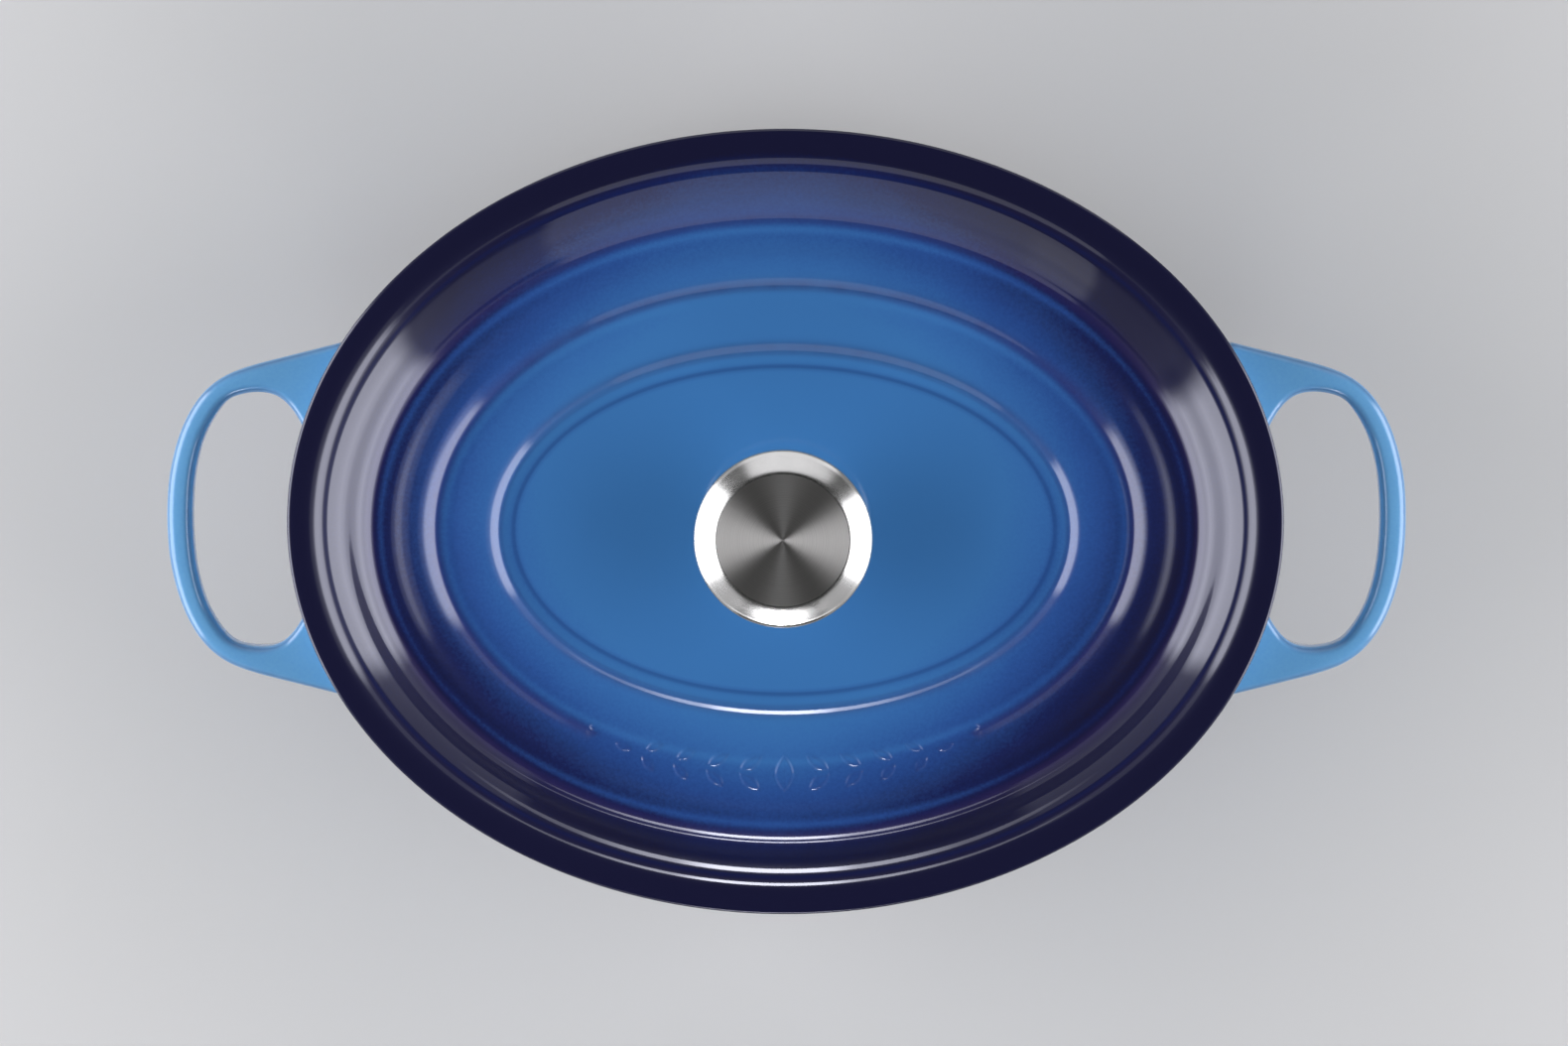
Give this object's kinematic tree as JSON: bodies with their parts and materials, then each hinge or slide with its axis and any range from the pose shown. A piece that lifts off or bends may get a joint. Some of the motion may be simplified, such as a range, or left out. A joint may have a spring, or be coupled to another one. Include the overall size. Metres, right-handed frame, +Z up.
{
  "type": "cast iron dutch oven",
  "caption": "Oval enamelled cast iron dutch oven with loop handles and a terraced, lift-off lid that has a steel knob.",
  "frame": {"origin": "centre of the pot's foot, on the surface the pot stands on", "axes": "+X along the pot's length towards one loop handle, -Y towards the front, where the lid carries its raised leaf motif, +Z up"},
  "size_m": [0.417, 0.261, 0.1846],
  "materials": {
    "blue_enamel": "glossy vitreous enamel",
    "polished_steel": "polished",
    "brushed_steel": "turned",
    "zinc_plated_steel": "zinc plated"
  },
  "bodies": {
    "pot": {"pot": "blue_enamel"},
    "lid": {"lid": "blue_enamel", "knob_cap": "polished_steel", "knob_body": "polished_steel", "knob_core": "brushed_steel", "knob_seat_washer": "brushed_steel", "knob_screw": "zinc_plated_steel", "flat_washer": "zinc_plated_steel", "lock_washer": "zinc_plated_steel"}
  },
  "joints": [
    {"name": "lid_lift", "type": "slide", "parent": "pot", "child": "lid", "axis": [0, 0, 1], "range_m": [0, 0.2]}
  ]
}
